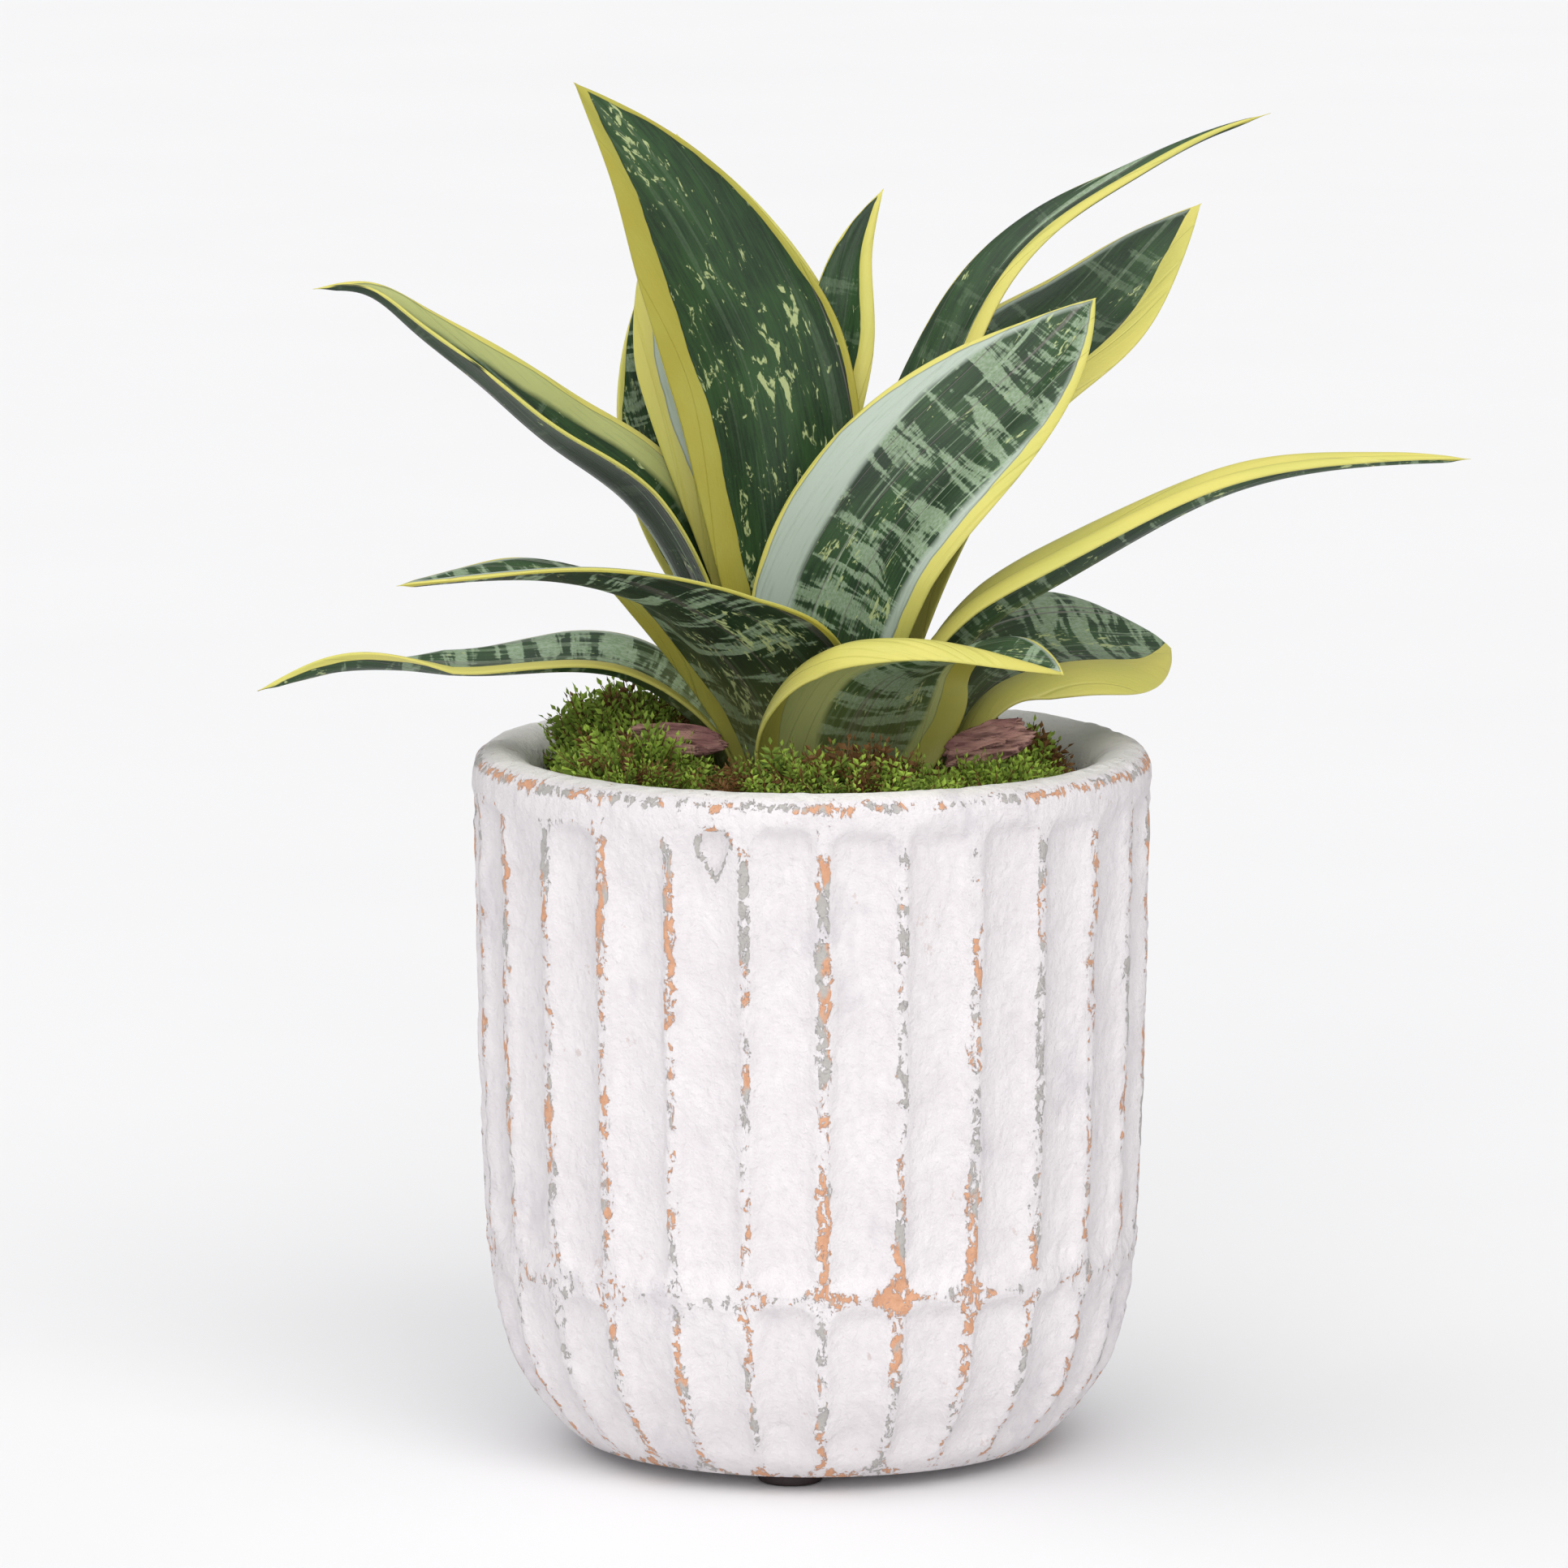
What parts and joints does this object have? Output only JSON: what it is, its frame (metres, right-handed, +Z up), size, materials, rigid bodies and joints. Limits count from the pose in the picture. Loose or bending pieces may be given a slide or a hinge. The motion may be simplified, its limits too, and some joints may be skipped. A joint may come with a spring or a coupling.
{
  "type": "potted snake plant",
  "caption": "Small snake plant with arching, yellow-edged banded leaves in a fluted, whitewashed round pot topped with moss and bark.",
  "frame": {"origin": "centre of the flat underside of the pot, on the pot's axis", "axes": "+Z up the pot's axis; +Y away from the side pictured; +X to the right of that side; the foot pads reach 3 mm below the origin"},
  "size_m": [0.2206, 0.1248, 0.2548],
  "materials": {
    "pot_body": "matt whitewash worn through to terracotta",
    "foot_pad": "matt",
    "potting_soil": "loose compost",
    "rootstock": "fleshy root",
    "moss": "soft moss",
    "bark": "rough bark",
    "leaf": "waxy leaf, banded green with yellow margins"
  },
  "bodies": {
    "root": {"pot": "pot_body", "foot_pad_1": "foot_pad", "foot_pad_2": "foot_pad", "foot_pad_3": "foot_pad", "potting_soil": "potting_soil", "rootstock": "rootstock", "moss_front": "moss", "moss_left": "moss", "moss_back_left": "moss", "moss_back": "moss", "moss_right": "moss", "moss_right_front": "moss", "bark_chip_right": "bark", "bark_chip_left": "bark", "leaf_tall_front": "leaf", "leaf_tall_back": "leaf", "leaf_back_left": "leaf", "leaf_slim_upright": "leaf", "leaf_right_high": "leaf", "leaf_right_back": "leaf", "leaf_right_front": "leaf", "leaf_right_long": "leaf", "leaf_right_low": "leaf", "leaf_front": "leaf", "leaf_left_front": "leaf", "leaf_left_low": "leaf", "leaf_left_high": "leaf"}
  },
  "joints": []
}
